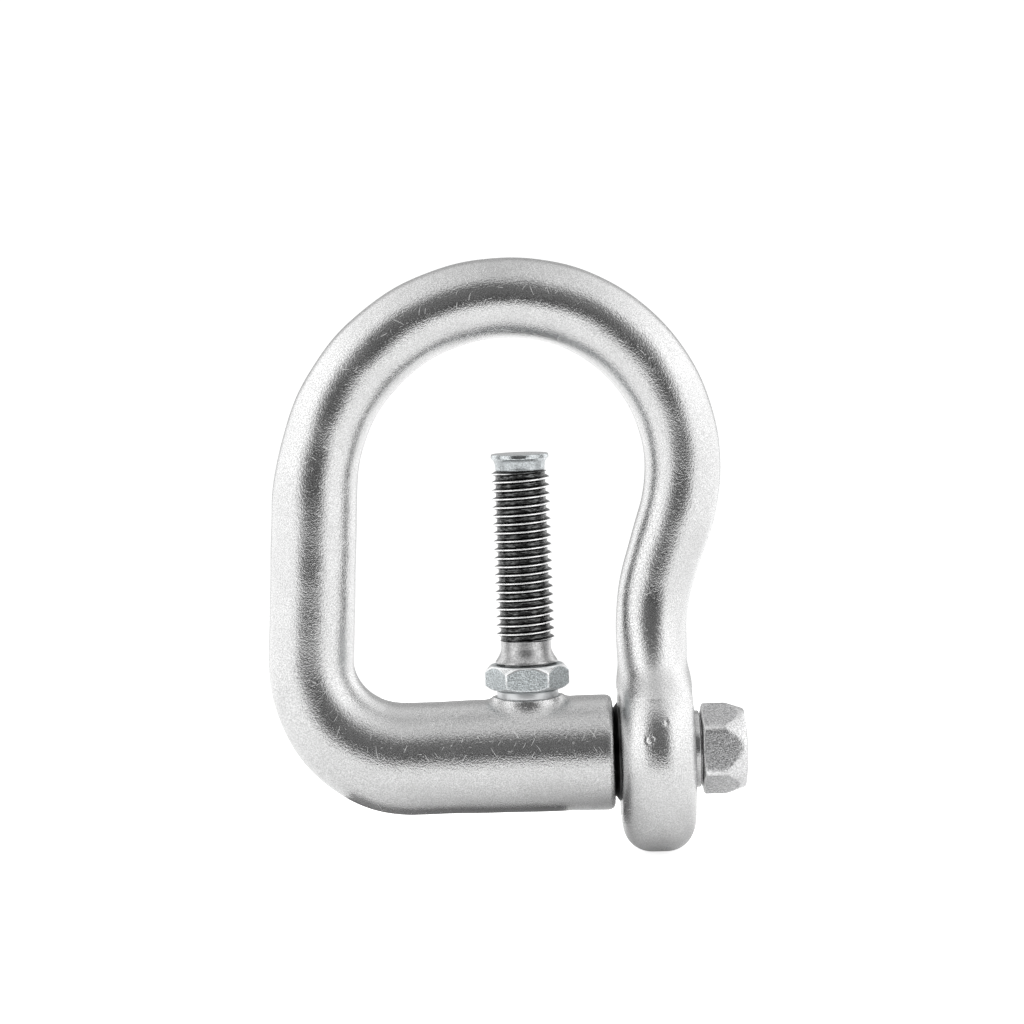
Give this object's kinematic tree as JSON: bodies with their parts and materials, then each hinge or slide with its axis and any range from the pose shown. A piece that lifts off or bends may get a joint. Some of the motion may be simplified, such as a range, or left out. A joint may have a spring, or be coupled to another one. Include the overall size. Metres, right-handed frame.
{
  "type": "bow shackle",
  "caption": "Forged bow shackle: a round bow closed by a hex bolt through its eye, with a threaded clamp stud and swivel pad standing in the opening.",
  "frame": {"origin": "bearing point inside the crown of the bow, midway through its depth", "axes": "+Z from the lower arm up to the crown, +X along the bolt towards its head, Y through the opening"},
  "size_m": [0.0989, 0.0418, 0.1241],
  "materials": {
    "forged_steel": "satin galvanised, fine grain with light scratches",
    "bolt_steel": "zinc plated, satin",
    "stud_steel": "bright turned steel",
    "blue_zinc": "bluish zinc plating, satin",
    "washer_steel": "bright zinc plating",
    "dark_steel": "oiled black oxide"
  },
  "bodies": {
    "bow": {"bow": "forged_steel", "spacer_washer": "dark_steel"},
    "head_washer": {"head_washer": "washer_steel"},
    "bolt": {"bolt": "bolt_steel"},
    "lock_washer": {"lock_washer": "washer_steel"},
    "stud": {"stud": "stud_steel"},
    "jam_nut": {"jam_nut": "blue_zinc"},
    "thrust_pad": {"thrust_pad": "blue_zinc"}
  },
  "joints": [
    {"name": "bolt_draw", "type": "slide", "parent": "bow", "child": "head_washer", "axis": [1, 0, 0], "range_m": [0, 0.0105]},
    {"name": "bolt_turn", "type": "hinge", "parent": "head_washer", "child": "bolt", "pos_m": [0.03748, 0, -0.08665], "axis": [1, 0, 0], "range_deg": [0, 2520]},
    {"name": "stud_rise", "type": "slide", "parent": "bow", "child": "lock_washer", "axis": [0, 0, 1], "range_m": [0, 0.0105]},
    {"name": "stud_turn", "type": "hinge", "parent": "lock_washer", "child": "stud", "pos_m": [0.00208, 0, -0.07365], "axis": [0, 0, 1], "range_deg": [0, 2520]},
    {"name": "jam_nut_turn", "type": "hinge", "parent": "stud", "child": "jam_nut", "pos_m": [0.00208, 0, -0.07015], "axis": [0, 0, 1], "range_deg": [0, 90]},
    {"name": "pad_spin", "type": "hinge", "parent": "stud", "child": "thrust_pad", "pos_m": [0.00208, 0, -0.02625], "axis": [0, 0, 1], "continuous": true}
  ],
  "couplings": [
    {"joint": "bolt_turn", "follows": "bolt_draw", "rad_per_m": 4188.8},
    {"joint": "stud_turn", "follows": "stud_rise", "rad_per_m": 4188.8}
  ]
}
